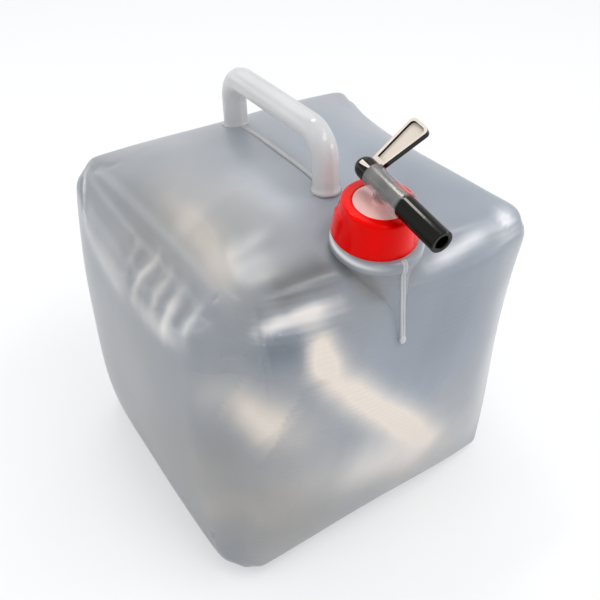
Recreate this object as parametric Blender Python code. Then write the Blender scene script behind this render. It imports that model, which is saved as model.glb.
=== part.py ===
"""Collapsible water carrier of about 20 litres.

A blow-moulded film cube with a hollow handle and a neck across its top front edge, closed by a
red screw ring that clamps a drum tap: flanged body, quarter-turn plug with lever, and nozzle.
Units are metres, +Z is up, -Y is the front with the tap, and the origin is the middle of the
base on the ground. The solids stand as in use: container full of air, tap shut.
"""

import math

import bmesh
import bpy
from mathutils import Matrix, Vector

# Gaps between pieces
TOUCH = 0.0003
RUNNING = 0.0003
OVERRUN = 0.004

# Film container
SIDE = 0.2522
CORNER_HEIGHT = 0.2467
FILM = 0.001
BASE_EDGE_RADIUS = 0.012
TOP_EDGE_RADIUS = 0.020
FRONT_LEFT_EXTRA_RADIUS = 0.016
FRONT_SWELL = 0.0341
BACK_SWELL = 0.028
LEFT_SWELL = 0.0242
RIGHT_SWELL = 0.028
TOP_SWELL = 0.0346
SWELL_POWER = 3.5
BASE_SWELL_POWER = 2.5
FRONT_HOLD_SHARE = 0.65
TOP_HOLD_SHARE = 0.1
BACK_RIGHT_EAR = (0.0321, 0.0042, 0.0099)
FRONT_RIGHT_EAR = (0.0179, -0.0157, 0.0071)
BACK_LEFT_EAR = (0, 0.0058, 0.0156)
BASE_LEFT_EAR = (-0.0147, -0.0259, 0)
EAR_POWER = 4
FOLD_DROP = 0.0467
ROWS = 7
FLAT_ROWS = 5

# Neck and pouring shoulder, in the tilted frame of the neck's axis
NECK_INSET = 0.0026
NECK_RISE = 0.0278
NECK_TILT = math.radians(11)
NECK_RADIUS = 0.0229
NECK_BORE = 0.0195
NECK_RIM = 0.0184
COLLAR_BORDER = 0.0025
COLLAR_FORWARD = 0.0036
COLLAR_ROUND = 0.0042
COLLAR_DEPTH = 0.0075
SHOULDER_STEP = 0.0028
SHOULDER_WALL = 0.0020
PROW_HALF_WIDTH = 0.0140
PROW_REACH = 0.0362
PROW_POWER = 4
PROW_FOOT_DROP = 0.0437
PROW_ROWS = 6

# Moulding seam
SEAM_RADIUS = 0.0015
SEAM_PROUD = 0.0007
SEAM_END_RISE = 0.0015
SEAM_BLOB_RADIUS = 0.0021
RIDGE_HEIGHT = 0.0032
RIDGE_WIDTH = 0.0016

# Hollow handle
HANDLE_RADIUS = 0.0098
HANDLE_WALL = 0.0018
HANDLE_RISE = 0.0738
HANDLE_BACK = 0.0705
HANDLE_FRONT = 0.0635
HANDLE_BEND = 0.020
HANDLE_ROOT = 0.016
FOOT_RADIUS = 0.0132
FOOT_HEIGHT = 0.0075

# Screw ring, over the gasket and the tap's flange
GASKET_THICKNESS = 0.0017
FLANGE_THICKNESS = 0.0027
RING_WALL = 0.0025
RING_FIT = 0.0005
RING_FLARE = 0.0038
RING_ROUND = 0.0026
RING_HOLE = 0.0187
FLANGE_RADIUS = NECK_RADIUS + TOUCH
RING_TOP_RADIUS = FLANGE_RADIUS + RING_FIT + RING_WALL
RING_BASE_RADIUS = RING_TOP_RADIUS + RING_FLARE
RING_HEIGHT = NECK_RIM + GASKET_THICKNESS + FLANGE_THICKNESS + RING_WALL + 3 * TOUCH
COLLAR_RADIUS = RING_BASE_RADIUS + COLLAR_BORDER
LUG_PROUD = 0.0006
LUG_SLOPE = 0.0016
LUG_WIDTH = 0.0160
LUG_HEIGHT = 0.0180
LUG_TURN = math.radians(-22)

# Tap body
DISC_WALL = 0.0024
SPIGOT_GAP = 0.0004
SPIGOT_WALL = 0.0020
SPIGOT_DEPTH = 0.0050
STEM_RADIUS = 0.0056
STEM_BORE = 0.0037
BARREL_RADIUS = 0.0084
BARREL_GAP = 0.0051
BARREL_RISE = RING_HEIGHT + BARREL_GAP + BARREL_RADIUS
BARREL_BORE = 0.0061
BARREL_BACK = 0.0120
BARREL_FRONT = 0.0228
LIP_RADIUS = 0.0091
LIP_LENGTH = 0.0024

# Plug with hub and lever, and its seals
PLUG_WALL = 0.0007
PORT_RADIUS = 0.0034
PLUG_NOSE = 0.0355
PLUG_BLIND = 0.0060
HUB_RADIUS = 0.0078
HUB_LENGTH = 0.0147
SEAL_SECTION = 0.0006
SEAL_INSET = 0.0042
SEAL_GAP = 0.00015
LEVER_ANGLE = math.radians(33)
LEVER_LENGTH = 0.0458
LEVER_ROOT_WIDTH = 0.0090
LEVER_TIP_WIDTH = 0.0170
LEVER_THICKNESS = 0.0046
LEVER_CORNER = 0.0038
LEVER_FORWARD = 0.0156
POCKET_BORDER = 0.0020
POCKET_DEPTH = 0.0022
POCKET_START = 0.0105

# Nozzle
NOZZLE_RADIUS = 0.0081
NOZZLE_LENGTH = 0.0383
NOZZLE_BORE = 0.0048
NOZZLE_CHAMFER = 0.0006

# Segments of round shapes
ROUND = 48
FINE = 32

COLLECTION = "collapsible_water_carrier"


def clear_scene():
    for item in list(bpy.data.objects):
        bpy.data.objects.remove(item)


def collection(name):
    made = bpy.data.collections.new(name)
    bpy.context.scene.collection.children.link(made)
    return made


def plastic(name, colour, roughness, alpha=1.0):
    """A Principled material of one moulded plastic."""
    made = bpy.data.materials.new(name)
    made.use_nodes = True
    shader = made.node_tree.nodes["Principled BSDF"]
    shader.inputs["Base Color"].default_value = (*colour, 1.0)
    shader.inputs["Roughness"].default_value = roughness
    shader.inputs["Metallic"].default_value = 0.0
    shader.inputs["Alpha"].default_value = alpha
    return made


def add(name, mesh, group, material=None, parent=None):
    """Link a mesh as a named object; a piece without material is a hidden tool."""
    item = bpy.data.objects.new(name, mesh)
    group.objects.link(item)
    item.parent = parent
    if material:
        mesh.materials.clear()
        mesh.materials.append(material)
    else:
        item.hide_render = True
        item.display_type = "WIRE"
    return item


def mesh_of(name, solid):
    bmesh.ops.recalc_face_normals(solid, faces=solid.faces[:])
    mesh = bpy.data.meshes.new(name)
    solid.to_mesh(mesh)
    solid.free()
    return mesh


def combine(target, tool, operation):
    """Join, cut or intersect `target` with `tool`, live and exact."""
    step = target.modifiers.new(operation.lower() + " " + tool.name, "BOOLEAN")
    step.operation = operation
    step.solver = "EXACT"
    step.object = tool


def smooth(item, degrees=30):
    """Shade round stretches smooth and keep the real corners."""
    item.data.shade_smooth()
    item.data.set_sharp_from_angle(angle=math.radians(degrees))


def turned(name, profile, steps=ROUND):
    """A solid of revolution about Z from a closed (radius, height) profile, given clockwise.

    The profile runs down its outer side and back up its inner side or the axis.
    """
    solid = bmesh.new()
    corners = [solid.verts.new((radius, 0, height)) for radius, height in profile]
    closed = profile[0][0] > 0 or profile[-1][0] > 0
    pairs = zip(corners, corners[1:] + corners[:1] if closed else corners[1:])
    for first, second in pairs:
        solid.edges.new((first, second))
    bmesh.ops.spin(
        solid,
        geom=solid.verts[:] + solid.edges[:],
        cent=(0, 0, 0),
        axis=(0, 0, 1),
        angle=2 * math.pi,
        steps=steps,
        use_merge=True,
    )
    bmesh.ops.remove_doubles(solid, verts=solid.verts[:], dist=TOUCH / ROUND)
    return mesh_of(name, solid)


def drum(name, radius, low, high, steps=FINE):
    """A plain round solid about Z from height `low` to `high`."""
    solid = bmesh.new()
    bmesh.ops.create_cone(
        solid,
        cap_ends=True,
        segments=steps,
        radius1=radius,
        radius2=radius,
        depth=high - low,
        matrix=Matrix.Translation((0, 0, (low + high) / 2)),
    )
    return mesh_of(name, solid)


def block(name, low, high):
    """A box between two corners."""
    solid = bmesh.new()
    bmesh.ops.create_cube(solid, size=1)
    size = [b - a for a, b in zip(low, high)]
    middle = [(a + b) / 2 for a, b in zip(low, high)]
    bmesh.ops.transform(
        solid,
        matrix=Matrix.Translation(middle) @ Matrix.Diagonal((*size, 1)),
        verts=solid.verts[:],
    )
    return mesh_of(name, solid)


def arc(centre, radius, start, end, steps):
    """Points of a circular arc, angles in degrees."""
    angles = [math.radians(start + (end - start) * k / steps) for k in range(steps + 1)]
    return [
        (centre[0] + radius * math.cos(a), centre[1] + radius * math.sin(a)) for a in angles
    ]


def swell(share, hold=0.0, power=SWELL_POWER):
    """Part of a face's bulge left at `share` of the way to its edge, with `hold` left there."""
    return 1 - (1 - hold) * abs(share) ** power


def front_upright(share):
    """Part of the front's bulge at a height, `share` of the way from its middle to its edge."""
    return swell(share, FRONT_HOLD_SHARE) if share > 0 else swell(share, 0, BASE_SWELL_POWER)


def edge_weight(component):
    """How much of a face's bulge a rounded edge takes, by the part of its normal on that axis."""
    return 1 - (1 - min(1, math.sqrt(2) * abs(component))) ** 2


def row_place(unit, core, radius):
    """Spread the cube's rows: even over the flat face, then by even angles round the edge."""
    face_share = FLAT_ROWS / ROWS
    away = abs(unit)
    if away <= face_share:
        place = core * away / face_share
    else:
        angle = (away - face_share) / (1 - face_share) * math.pi / 4
        place = core + radius * math.tan(angle)
    return math.copysign(place, unit)


EARS = (
    ((1, 1, 1), BACK_RIGHT_EAR),
    ((1, -1, 1), FRONT_RIGHT_EAR),
    ((-1, 1, 1), BACK_LEFT_EAR),
    ((-1, -1, -1), BASE_LEFT_EAR),
)


def film_point(unit, inset):
    """The film's point for a point of the unit cube's surface, `inset` under the outer face."""
    half = Vector((SIDE / 2, SIDE / 2, CORNER_HEIGHT / 2))
    rise = (unit.z + 1) / 2
    rise = rise * rise * (3 - 2 * rise)
    radius = BASE_EDGE_RADIUS + (TOP_EDGE_RADIUS - BASE_EDGE_RADIUS) * rise
    radius += FRONT_LEFT_EXTRA_RADIUS * ((1 - unit.x) * (1 - unit.y) / 4) ** 2
    core = [size - radius for size in half]
    flat = Vector([row_place(u, c, radius) for u, c in zip(unit, core)])
    inner = Vector([max(-c, min(c, f)) for c, f in zip(core, flat)])
    normal = (flat - inner).normalized()
    point = inner + normal * (radius - inset)
    x, y, z = (f / h for f, h in zip(flat, half))
    weight = [edge_weight(part) for part in normal]
    if normal.y < 0:
        point.y -= FRONT_SWELL * swell(x) * front_upright(z) * weight[1]
    else:
        point.y += BACK_SWELL * swell(x) * swell(z) * weight[1]
    side_swell = RIGHT_SWELL if normal.x > 0 else -LEFT_SWELL
    point.x += side_swell * swell(y) * swell(z) * weight[0]
    if normal.z > 0:
        point.z += TOP_SWELL * swell(x) * swell(y, TOP_HOLD_SHARE if y < 0 else 0) * weight[2]
    moved = Vector()
    for corner, reach in EARS:
        places = [point.x / half.x, point.y / half.y, point.z / half.z]
        places = [max(-1, min(1, place)) for place in places]
        near = math.prod(((1 + c * p) / 2) ** EAR_POWER for c, p in zip(corner, places))
        moved += Vector(reach) * near
    point += moved
    point.z += half.z
    return point


def film_top(y):
    """Height of the film's crown line at a place `y` on its flat top."""
    share = y / (SIDE / 2)
    return CORNER_HEIGHT + TOP_SWELL * swell(share, TOP_HOLD_SHARE if y < 0 else 0)


def film_front(height):
    """Place in Y of the front face's middle line at a height on its flat stretch."""
    return -SIDE / 2 - FRONT_SWELL * front_upright(height / (CORNER_HEIGHT / 2) - 1)


def pillow(name, inset):
    """The closed film cube: a gridded cube whose points move to the film."""
    solid = bmesh.new()
    bmesh.ops.create_cube(solid, size=1)
    cuts = 2 * ROWS - 1
    bmesh.ops.subdivide_edges(solid, edges=solid.edges[:], cuts=cuts, use_grid_fill=True)
    for vertex in solid.verts:
        vertex.co = film_point(2 * vertex.co, inset)
    bmesh.ops.triangulate(solid, faces=solid.faces[:])
    return mesh_of(name, solid)


def tube(name, points, radius, group, resolution=4):
    """A round rod along points, as a welded mesh object in `group`, kept as a tool."""
    path = bpy.data.curves.new(name + "_path", "CURVE")
    path.dimensions = "3D"
    path.bevel_depth = radius
    path.bevel_resolution = resolution
    path.use_fill_caps = True
    line = path.splines.new("POLY")
    line.points.add(len(points) - 1)
    for place, point in zip(line.points, points):
        place.co = (*point, 1)
    curve = bpy.data.objects.new(name + "_path", path)
    group.objects.link(curve)
    bpy.context.view_layer.update()
    graph = bpy.context.evaluated_depsgraph_get()
    mesh = bpy.data.meshes.new_from_object(curve.evaluated_get(graph))
    bpy.data.objects.remove(curve)
    solid = bmesh.new()
    solid.from_mesh(mesh)
    bmesh.ops.remove_doubles(solid, verts=solid.verts[:], dist=TOUCH / ROUND)
    return add(name, mesh_of(name, solid), group)


def plate(name, outline, thickness):
    """A flat outline in XY, given thickness about Z = 0."""
    solid = bmesh.new()
    face = solid.faces.new([solid.verts.new((x, y, -thickness / 2)) for x, y in outline])
    raised = bmesh.ops.extrude_face_region(solid, geom=[face])["geom"]
    moved = [item for item in raised if isinstance(item, bmesh.types.BMVert)]
    bmesh.ops.translate(solid, vec=(0, 0, thickness), verts=moved)
    return mesh_of(name, solid)


def neck_place():
    """Middle of the screw ring's foot, on the neck's axis."""
    return Vector((0, NECK_INSET - SIDE / 2, CORNER_HEIGHT + NECK_RISE))


def neck_frame():
    return Matrix.Translation(neck_place()) @ Matrix.Rotation(NECK_TILT, 4, "X")


def barrel_frame():
    """Frame on the barrel's axis: +Z along it to the nozzle, +X to the right as the neck's."""
    to_front = Matrix.Rotation(math.pi / 2, 4, "X")
    return neck_frame() @ Matrix.Translation((0, 0, BARREL_RISE)) @ to_front


def collar_frame():
    """The collar's frame: as the neck's, a little further to the front."""
    return neck_frame() @ Matrix.Translation((0, -COLLAR_FORWARD, 0))


def shoulder(name, top_radius, top_height, half_width, reach, foot_height):
    """The pouring shoulder: from a round under the tilted collar down to a pointed prow."""
    solid = bmesh.new()
    bmesh.ops.create_cone(
        solid, cap_ends=True, segments=ROUND, radius1=top_radius, radius2=top_radius, depth=reach
    )
    upright = [edge for edge in solid.edges if edge.verts[0].co.z * edge.verts[1].co.z < 0]
    bmesh.ops.subdivide_edges(solid, edges=upright, cuts=PROW_ROWS - 1)
    tilt = collar_frame() @ Matrix.Translation((0, 0, top_height))
    foot = Vector((0, neck_place().y, foot_height))
    for vertex in solid.verts:
        level = Vector((vertex.co.x, vertex.co.y, 0))
        across = level.x / top_radius
        ahead = -level.y / top_radius
        prow = reach * ahead**PROW_POWER if ahead > 0 else half_width * ahead
        below = foot + Vector((half_width * across, -prow, 0))
        vertex.co = below.lerp(tilt @ level, vertex.co.z / reach + 1 / 2)
    bmesh.ops.triangulate(solid, faces=solid.faces[:])
    return mesh_of(name, solid)


def seam_points():
    """The front moulding seam: over the collar, down the shoulder's front, then the film's."""
    collar = collar_frame()
    bend = (COLLAR_ROUND - COLLAR_RADIUS, -COLLAR_ROUND)
    points = [collar @ Vector((0, y, z)) for y, z in arc(bend, COLLAR_ROUND, 90, 180, 3)]
    lip = collar @ Vector((0, -COLLAR_RADIUS, -COLLAR_DEPTH))
    foot_y = neck_place().y - PROW_REACH
    wall = collar @ Vector((0, SHOULDER_STEP - COLLAR_RADIUS, -COLLAR_ROUND))
    points.append(lip)
    foot_height = CORNER_HEIGHT - PROW_FOOT_DROP
    end = foot_height + SEAM_END_RISE
    steps = 8
    for k in range(1, steps + 1):
        height = lip.z + (end - lip.z) * k / steps
        share = (height - foot_height) / (wall.z - foot_height)
        on_shoulder = foot_y + (wall.y - foot_y) * share
        front = min(on_shoulder, film_front(min(height, CORNER_HEIGHT - TOP_EDGE_RADIUS)))
        points.append(Vector((0, front - SEAM_PROUD + SEAM_RADIUS / 2, height)))
    return points


def handle_points(root_drop):
    """Centre line of the handle: up from the back foot, along the bar, down at the front."""
    low_back = film_top(HANDLE_BACK) - root_drop
    low_front = film_top(-HANDLE_FRONT) - root_drop
    bend_height = CORNER_HEIGHT + HANDLE_RISE - HANDLE_BEND
    bend = (HANDLE_BACK - HANDLE_BEND, bend_height)
    other = (HANDLE_BEND - HANDLE_FRONT, bend_height)
    steps = 6
    line = [(HANDLE_BACK, low_back)]
    line += arc(bend, HANDLE_BEND, 0, 90, steps)
    line += arc(other, HANDLE_BEND, 90, 180, steps)
    line += [(-HANDLE_FRONT, low_front)]
    return [(0, y, z) for y, z in line]


def ridge_mesh():
    """The upright moulding ridge on the crown between the handle's feet."""
    steps = 12
    places = [
        HANDLE_BACK - (HANDLE_BACK + HANDLE_FRONT) * k / steps for k in range(steps + 1)
    ]
    upper = [(y, film_top(y) + RIDGE_HEIGHT) for y in places]
    lower = [(y, film_top(y) - FILM / 2) for y in reversed(places)]
    mesh = plate("ridge", upper + lower, RIDGE_WIDTH)
    mesh.transform(Matrix(((0, 0, 1, 0), (1, 0, 0, 0), (0, 1, 0, 0), (0, 0, 0, 1))))
    return mesh


def container(parts, tools, material):
    """The film moulding, in two solids that part at the fold line: folding walls and top."""
    reach = SIDE
    fold = CORNER_HEIGHT - FOLD_DROP
    prow_foot = CORNER_HEIGHT - PROW_FOOT_DROP
    inside = add("film_inside", pillow("film_inside", FILM), tools)
    above = block(
        "above_fold",
        (-reach, -reach, fold - TOUCH / 2),
        (reach, reach, CORNER_HEIGHT + reach),
    )
    below = block("below_fold", (-reach, -reach, -reach), (reach, reach, fold + TOUCH / 2))
    walls = add("container_walls", pillow("container_walls", 0), parts, material)
    combine(walls, add("above_fold", above, tools), "DIFFERENCE")
    combine(walls, inside, "DIFFERENCE")
    smooth(walls)

    top = add("container_top", pillow("container_top", 0), parts, material)
    combine(top, add("below_fold", below, tools), "DIFFERENCE")
    tube_outside = drum("neck_outside", NECK_RADIUS, -COLLAR_DEPTH / 2, NECK_RIM, ROUND)
    neck = add("neck_outside", tube_outside, tools)
    neck.matrix_world = neck_frame()
    combine(top, neck, "UNION")
    low = -COLLAR_ROUND - TOUCH
    profile = [(0, -TOUCH)]
    profile += arc((COLLAR_RADIUS - COLLAR_ROUND, low), COLLAR_ROUND, 90, 0, 4)
    profile += [(COLLAR_RADIUS - TOUCH, -COLLAR_DEPTH), (0, -COLLAR_DEPTH)]
    collar = add("collar_outside", turned("collar_outside", profile), tools)
    collar.matrix_world = collar_frame()
    combine(top, collar, "UNION")
    round_outside = shoulder(
        "shoulder_outside",
        COLLAR_RADIUS - SHOULDER_STEP,
        low - TOUCH,
        PROW_HALF_WIDTH,
        PROW_REACH,
        prow_foot,
    )
    combine(top, add("shoulder_outside", round_outside, tools), "UNION")
    handle = tube("handle_outside", handle_points(HANDLE_ROOT), HANDLE_RADIUS, tools)
    combine(top, handle, "UNION")
    for label, place in (("back", HANDLE_BACK), ("front", -HANDLE_FRONT)):
        profile = [
            (0, FOOT_HEIGHT),
            (HANDLE_RADIUS + TOUCH, FOOT_HEIGHT),
            (HANDLE_RADIUS + TOUCH * 4, FOOT_HEIGHT / 2),
            (FOOT_RADIUS, 0),
            (FOOT_RADIUS, -FOOT_HEIGHT),
            (0, -FOOT_HEIGHT),
        ]
        foot = add(label + "_foot", turned(label + "_foot", profile, FINE), tools)
        foot.matrix_world = Matrix.Translation((0, place, film_top(place)))
        combine(top, foot, "UNION")
    combine(top, add("ridge", ridge_mesh(), tools), "UNION")
    combine(top, tube("seam", seam_points(), SEAM_RADIUS, tools, 2), "UNION")
    blob = bmesh.new()
    bmesh.ops.create_uvsphere(blob, u_segments=12, v_segments=8, radius=SEAM_BLOB_RADIUS)
    blob = add("seam_blob", mesh_of("seam_blob", blob), tools)
    blob.matrix_world = Matrix.Translation(seam_points()[-1])
    combine(top, blob, "UNION")
    combine(top, inside, "DIFFERENCE")
    round_inside = shoulder(
        "shoulder_inside",
        COLLAR_RADIUS - SHOULDER_STEP - SHOULDER_WALL,
        low,
        PROW_HALF_WIDTH - SHOULDER_WALL,
        PROW_REACH - SHOULDER_WALL,
        prow_foot - OVERRUN,
    )
    combine(top, add("shoulder_inside", round_inside, tools), "DIFFERENCE")
    bore = drum("neck_bore", NECK_BORE, -2 * COLLAR_DEPTH, NECK_RIM + OVERRUN, ROUND)
    bore = add("neck_bore", bore, tools)
    bore.matrix_world = neck_frame()
    combine(top, bore, "DIFFERENCE")
    hollow = tube(
        "handle_hollow", handle_points(HANDLE_ROOT + OVERRUN), HANDLE_RADIUS - HANDLE_WALL, tools
    )
    combine(top, hollow, "DIFFERENCE")
    smooth(top)


def screw_ring(parts, tools, material, neck):
    """The red ring: a flared skirt with two grips and a lip that holds the tap's flange down."""
    seat = RING_HEIGHT - RING_WALL
    corner = (RING_TOP_RADIUS - RING_ROUND, RING_HEIGHT - RING_ROUND)
    outline = [(0, RING_HEIGHT)]
    outline += arc(corner, RING_ROUND, 90, 0, 5)
    outline += [(RING_BASE_RADIUS, 0), (0, 0)]
    ring = add("screw_ring", turned("screw_ring", outline), parts, material, neck)
    round_grip = bmesh.new()
    bmesh.ops.create_cone(
        round_grip,
        cap_ends=True,
        segments=ROUND,
        radius1=RING_BASE_RADIUS + LUG_PROUD,
        radius2=RING_BASE_RADIUS + LUG_PROUD - LUG_SLOPE,
        depth=LUG_HEIGHT,
        matrix=Matrix.Translation((0, 0, LUG_HEIGHT / 2 + TOUCH)),
    )
    grip = add("ring_grips", mesh_of("ring_grips", round_grip), tools, parent=neck)
    turn = Matrix.Rotation(LUG_TURN, 4, "Z")
    width = block(
        "grip_width",
        (-2 * RING_BASE_RADIUS, -LUG_WIDTH / 2, 0),
        (2 * RING_BASE_RADIUS, LUG_WIDTH / 2, RING_HEIGHT),
    )
    width.transform(turn)
    combine(grip, add("grip_width", width, tools, parent=neck), "INTERSECT")
    combine(ring, grip, "UNION")
    skirt_base = RING_BASE_RADIUS - RING_WALL
    skirt_top = skirt_base - (RING_BASE_RADIUS - RING_TOP_RADIUS) * seat / RING_HEIGHT
    slope = (skirt_top - skirt_base) / seat
    cavity = [
        (0, seat),
        (skirt_top, seat),
        (skirt_base - slope * OVERRUN, -OVERRUN),
        (0, -OVERRUN),
    ]
    cavity = add("ring_cavity", turned("ring_cavity", cavity), tools, parent=neck)
    combine(ring, cavity, "DIFFERENCE")
    hole = drum("ring_hole", RING_HOLE, seat - OVERRUN, RING_HEIGHT + OVERRUN, ROUND)
    combine(ring, add("ring_hole", hole, tools, parent=neck), "DIFFERENCE")
    smooth(ring)


def gasket(parts, material, neck):
    """The flat washer between the neck's rim and the tap's flange."""
    low = NECK_RIM + TOUCH
    high = low + GASKET_THICKNESS
    bore = NECK_BORE + TOUCH
    profile = [(bore, high), (NECK_RADIUS, high), (NECK_RADIUS, low), (bore, low)]
    smooth(add("gasket", turned("gasket", profile), parts, material, neck))


def tap_body(parts, tools, material, neck, barrel):
    """Flange, disc, stem and cross barrel in one moulding, with its water way."""
    under = NECK_RIM + GASKET_THICKNESS + 2 * TOUCH
    flange_top = RING_HEIGHT - RING_WALL - TOUCH
    disc_top = RING_HEIGHT - 2 * TOUCH
    disc_radius = RING_HOLE - TOUCH
    spigot_radius = NECK_BORE - SPIGOT_GAP
    profile = [
        (0, BARREL_RISE),
        (STEM_RADIUS, BARREL_RISE),
        (STEM_RADIUS, disc_top),
        (disc_radius, disc_top),
        (disc_radius, flange_top),
        (FLANGE_RADIUS, flange_top),
        (FLANGE_RADIUS, under),
        (spigot_radius, under),
        (spigot_radius, under - SPIGOT_DEPTH),
        (spigot_radius - SPIGOT_WALL, under - SPIGOT_DEPTH),
        (spigot_radius - SPIGOT_WALL, disc_top - DISC_WALL),
        (0, disc_top - DISC_WALL),
    ]
    body = add("tap_body", turned("tap_body", profile), parts, material, neck)
    outside = [
        (0, BARREL_FRONT),
        (LIP_RADIUS, BARREL_FRONT),
        (LIP_RADIUS, BARREL_FRONT - LIP_LENGTH),
        (BARREL_RADIUS, BARREL_FRONT - LIP_LENGTH),
        (BARREL_RADIUS, -BARREL_BACK),
        (0, -BARREL_BACK),
    ]
    sleeve = add("barrel_outside", turned("barrel_outside", outside, FINE), tools, parent=barrel)
    combine(body, sleeve, "UNION")
    water = drum("stem_bore", STEM_BORE, RING_HEIGHT - DISC_WALL - OVERRUN, BARREL_RISE)
    combine(body, add("stem_bore", water, tools, parent=neck), "DIFFERENCE")
    bore = drum("barrel_bore", BARREL_BORE, -BARREL_BACK - OVERRUN, BARREL_FRONT + OVERRUN)
    combine(body, add("barrel_bore", bore, tools, parent=barrel), "DIFFERENCE")
    smooth(body)


def seal_places():
    """Where the two ring seals lie along the barrel: near its back and its front end."""
    return {"back": SEAL_INSET - BARREL_BACK, "front": BARREL_FRONT - SEAL_INSET}


def lever_outline(start, border):
    """The lever's tapered outline in its own frame, X along it, with rounded tip corners."""
    end = LEVER_LENGTH - border
    taper = (LEVER_TIP_WIDTH - LEVER_ROOT_WIDTH) / 2 / LEVER_LENGTH
    root = LEVER_ROOT_WIDTH / 2 + taper * start - border
    corner = max(LEVER_CORNER - border / 2, TOUCH)
    tip = LEVER_TIP_WIDTH / 2 - border
    outline = [(start, -root)]
    outline += arc((end - corner, corner - tip), corner, -90, 0, 4)
    outline += arc((end - corner, tip - corner), corner, 0, 90, 4)
    outline += [(start, root)]
    return outline


def plug(parts, tools, material, barrel):
    """The turning plug: hub and lever behind the barrel, hollow plug with a side port in it."""
    radius = BARREL_BORE - RUNNING
    groove = BARREL_BORE - 2 * SEAL_SECTION - 2 * SEAL_GAP
    half = SEAL_SECTION + SEAL_GAP
    back = -BARREL_BACK - RUNNING
    profile = [(0, PLUG_NOSE), (radius, PLUG_NOSE)]
    for place in sorted(seal_places().values(), reverse=True):
        profile += [
            (radius, place + half),
            (groove, place + half),
            (groove, place - half),
            (radius, place - half),
        ]
    profile += [(radius, back), (HUB_RADIUS, back)]
    dome = (0, back - HUB_LENGTH + HUB_RADIUS)
    profile += arc(dome, HUB_RADIUS, 0, -90, 6)
    item = add("plug", turned("plug", profile, FINE), parts, material, barrel)
    # The lever's own X runs out from the axis, its Y lies along the barrel and its Z is its top.
    stand = Matrix.Rotation(LEVER_ANGLE, 4, "Z") @ Matrix.Rotation(-math.pi / 2, 4, "X")
    stand = Matrix.Translation((0, 0, -LEVER_FORWARD)) @ stand
    lever = plate("lever", lever_outline(0, 0), LEVER_THICKNESS)
    lever.transform(stand)
    lever = add("lever", lever, tools, parent=barrel)
    room = drum("lever_room", BARREL_RADIUS + RUNNING, back, BARREL_FRONT)
    combine(lever, add("lever_room", room, tools, parent=barrel), "DIFFERENCE")
    combine(item, lever, "UNION")
    pocket = plate("lever_pocket", lever_outline(POCKET_START, POCKET_BORDER), 2 * POCKET_DEPTH)
    pocket.transform(stand @ Matrix.Translation((0, 0, LEVER_THICKNESS / 2)))
    combine(item, add("lever_pocket", pocket, tools, parent=barrel), "DIFFERENCE")
    water = drum("plug_bore", groove - PLUG_WALL, -PLUG_BLIND, PLUG_NOSE + OVERRUN)
    combine(item, add("plug_bore", water, tools, parent=barrel), "DIFFERENCE")
    port = drum("plug_port", PORT_RADIUS, 0, BARREL_BORE + OVERRUN)
    port.transform(Matrix.Rotation(-math.pi / 2, 4, "Y"))
    combine(item, add("plug_port", port, tools, parent=barrel), "DIFFERENCE")
    smooth(item)


def seals(parts, material, barrel):
    """Two ring seals in the plug's grooves."""
    for label, place in seal_places().items():
        middle = (BARREL_BORE - SEAL_SECTION - SEAL_GAP, place)
        section = arc(middle, SEAL_SECTION, 90, -270, 10)[:-1]
        name = "o_ring_" + label
        smooth(add(name, turned(name, section, FINE), parts, material, barrel))


def nozzle(parts, material, barrel):
    """The spout pushed on the plug's nose; it turns with the plug and holds it in the barrel."""
    back = BARREL_FRONT + RUNNING
    front = back + NOZZLE_LENGTH
    step = PLUG_NOSE + TOUCH
    profile = [
        (NOZZLE_BORE + NOZZLE_CHAMFER, front),
        (NOZZLE_RADIUS - NOZZLE_CHAMFER, front),
        (NOZZLE_RADIUS, front - NOZZLE_CHAMFER),
        (NOZZLE_RADIUS, back + NOZZLE_CHAMFER),
        (NOZZLE_RADIUS - NOZZLE_CHAMFER, back),
        (BARREL_BORE, back),
        (BARREL_BORE, step),
        (NOZZLE_BORE, step),
        (NOZZLE_BORE, front - NOZZLE_CHAMFER),
    ]
    smooth(add("nozzle", turned("nozzle", profile, FINE), parts, material, barrel))


def frame_empty(name, matrix, group):
    empty = bpy.data.objects.new(name, None)
    group.objects.link(empty)
    empty.matrix_world = matrix
    return empty


def build():
    clear_scene()
    parts = collection(COLLECTION)
    tools = collection("cutters")
    film = plastic("milky_film", (0.78, 0.80, 0.83), 0.22, 0.55)
    red = plastic("red_ring", (0.80, 0.012, 0.006), 0.25)
    clear = plastic("clear_tap", (0.62, 0.62, 0.62), 0.2, 0.6)
    black = plastic("black_plug", (0.012, 0.011, 0.010), 0.18)
    rubber = plastic("seal_rubber", (0.03, 0.03, 0.03), 0.7)
    washer = plastic("washer_rubber", (0.75, 0.74, 0.70), 0.6)
    neck = frame_empty("neck_axis", neck_frame(), parts)
    barrel = frame_empty("barrel_axis", barrel_frame(), parts)
    bpy.context.view_layer.update()
    container(parts, tools, film)
    screw_ring(parts, tools, red, neck)
    gasket(parts, washer, neck)
    tap_body(parts, tools, clear, neck, barrel)
    plug(parts, tools, black, barrel)
    seals(parts, rubber, barrel)
    nozzle(parts, black, barrel)


build()
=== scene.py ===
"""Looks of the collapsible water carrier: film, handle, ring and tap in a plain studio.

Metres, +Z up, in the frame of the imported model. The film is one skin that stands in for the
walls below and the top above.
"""

import math

import bmesh
import bpy
import numpy as np
from mathutils import Matrix, Vector
from mathutils.kdtree import KDTree


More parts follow.
